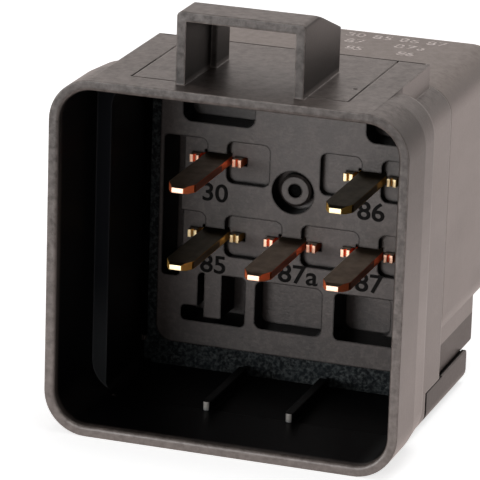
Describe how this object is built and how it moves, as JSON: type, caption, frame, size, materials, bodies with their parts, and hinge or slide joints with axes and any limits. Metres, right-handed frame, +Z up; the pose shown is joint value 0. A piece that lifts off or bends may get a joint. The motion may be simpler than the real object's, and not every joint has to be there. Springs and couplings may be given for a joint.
{
  "type": "automotive relay",
  "caption": "Plug-in automotive relay with a square connector shroud, latch loop, flat blade terminals and a stepped rear cover over a clapper armature.",
  "frame": {"origin": "centre of the connector's rim plane", "axes": "+Y runs from the rim to the rear cover, +Z up towards the latch loop, +X to the right as seen from the rim's side"},
  "size_m": [0.036, 0.0394, 0.0432],
  "materials": {
    "shroud_plastic": "fine-grained moulded surface",
    "cover_plastic": "satin moulded surface",
    "seal_resin": "cast resin, slightly speckled",
    "bobbin_plastic": "natural moulded",
    "copper": "rolled strip with sheared edges",
    "brass": "rolled strip with sheared edges",
    "spring_bronze": "rolled spring strip",
    "enamelled_wire": "lacquered winding",
    "magnet_iron": "zinc-plated soft iron",
    "spring_steel": "drawn wire",
    "contact_silver": "satin contact metal"
  },
  "bodies": {
    "base": {"shroud": "shroud_plastic", "rear_cover": "cover_plastic", "header_base": "shroud_plastic", "perimeter_seal": "seal_resin", "vent_plug": "bobbin_plastic", "terminal_30": "copper", "terminal_85": "brass", "terminal_86": "brass", "terminal_87": "copper", "terminal_87a": "copper", "bobbin": "bobbin_plastic", "coil_winding": "enamelled_wire", "core": "magnet_iron", "yoke": "magnet_iron", "contact_no": "contact_silver", "contact_nc": "contact_silver", "return_spring": "spring_steel", "shunt_braid": "copper"},
    "armature": {"armature": "magnet_iron", "contact_arm": "spring_bronze", "armature_rivets": "magnet_iron", "moving_contact": "contact_silver"}
  },
  "joints": [
    {"name": "armature_pull", "type": "hinge", "parent": "base", "child": "armature", "pos_m": [-0.0104, 0.03205, 0.00828], "axis": [0, 1, 0], "range_deg": [0, 3.5], "stiffness_Nm_per_rad": 0.008, "springref_deg": -17.19, "deforming": ["return_spring", "shunt_braid"]}
  ]
}
